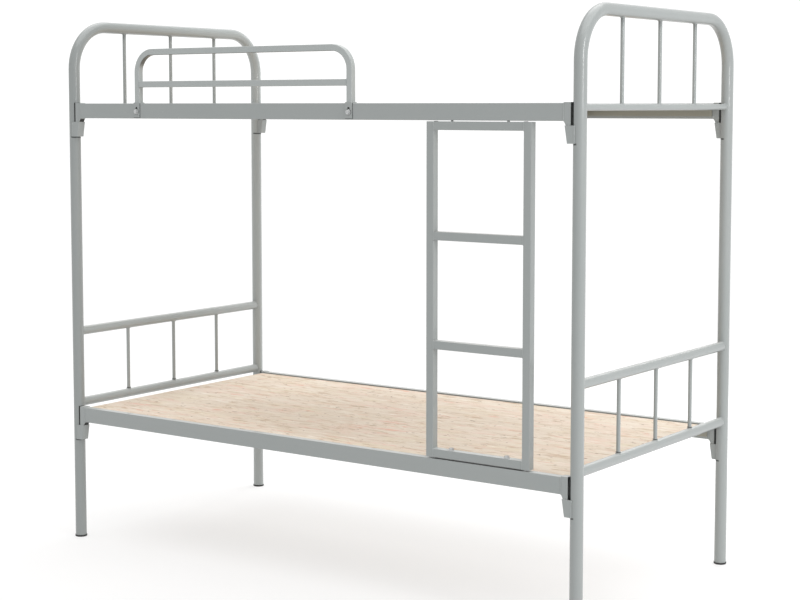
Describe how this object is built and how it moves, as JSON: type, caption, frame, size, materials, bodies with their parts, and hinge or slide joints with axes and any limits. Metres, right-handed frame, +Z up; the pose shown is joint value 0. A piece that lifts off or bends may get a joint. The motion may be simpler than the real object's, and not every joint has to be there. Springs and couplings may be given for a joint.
{
  "type": "bunk bed with ladder",
  "caption": "Knock-down steel bunk bed: arched tube end frames, plywood decks hooked on by side rails, a fixed ladder and a guard hoop on one long side.",
  "frame": {"origin": "on the floor, midway between the four posts", "axes": "+X along the bed toward the ladder end, -Y toward the side with the ladder and the guard, +Z up"},
  "size_m": [2.003, 0.9986, 1.7759],
  "materials": {
    "grey_paint": "semi-gloss",
    "plywood": "raw",
    "black_plastic": "matte",
    "zinc_steel": "satin"
  },
  "bodies": {
    "frame": {"guard_bar": "grey_paint", "guard_bolts": "zinc_steel", "guard_hoop": "grey_paint", "guard_left_bracket": "grey_paint", "guard_right_bracket": "grey_paint", "ladder_bolts": "zinc_steel", "ladder_left_stile": "grey_paint", "ladder_right_stile": "grey_paint", "ladder_rung_1": "grey_paint", "ladder_rung_2": "grey_paint", "ladder_rung_3": "grey_paint", "ladder_rung_4": "grey_paint", "left_arch_tube": "grey_paint", "left_back_foot": "black_plastic", "left_back_lower_socket": "grey_paint", "left_back_upper_socket": "grey_paint", "left_front_foot": "black_plastic", "left_front_lower_socket": "grey_paint", "left_front_upper_socket": "grey_paint", "left_lower_crossbar": "grey_paint", "left_lower_rod_back": "grey_paint", "left_lower_rod_front": "grey_paint", "left_lower_rod_middle": "grey_paint", "left_middle_crossbar": "grey_paint", "left_upper_crossbar": "grey_paint", "left_upper_rod_back": "grey_paint", "left_upper_rod_front": "grey_paint", "left_upper_rod_middle": "grey_paint", "lower_back_hooks": "grey_paint", "lower_back_rail": "grey_paint", "lower_bearers": "grey_paint", "lower_front_hooks": "grey_paint", "lower_front_rail": "grey_paint", "lower_ledges": "grey_paint", "right_arch_tube": "grey_paint", "right_back_foot": "black_plastic", "right_back_lower_socket": "grey_paint", "right_back_upper_socket": "grey_paint", "right_front_foot": "black_plastic", "right_front_lower_socket": "grey_paint", "right_front_upper_socket": "grey_paint", "right_lower_crossbar": "grey_paint", "right_lower_rod_back": "grey_paint", "right_lower_rod_front": "grey_paint", "right_lower_rod_middle": "grey_paint", "right_middle_crossbar": "grey_paint", "right_upper_crossbar": "grey_paint", "right_upper_rod_back": "grey_paint", "right_upper_rod_front": "grey_paint", "right_upper_rod_middle": "grey_paint", "upper_back_hooks": "grey_paint", "upper_back_rail": "grey_paint", "upper_bearers": "grey_paint", "upper_front_hooks": "grey_paint", "upper_front_rail": "grey_paint", "upper_ledges": "grey_paint", "weld_nuts": "zinc_steel"},
    "lower_board": {"lower_board": "plywood"},
    "upper_board": {"upper_board": "plywood"}
  },
  "joints": [
    {"name": "lower_board_lift", "type": "slide", "parent": "frame", "child": "lower_board", "axis": [0, 0, 1], "range_m": [0, 0.4]},
    {"name": "upper_board_lift", "type": "slide", "parent": "frame", "child": "upper_board", "axis": [0, 0, 1], "range_m": [0, 0.4]}
  ]
}
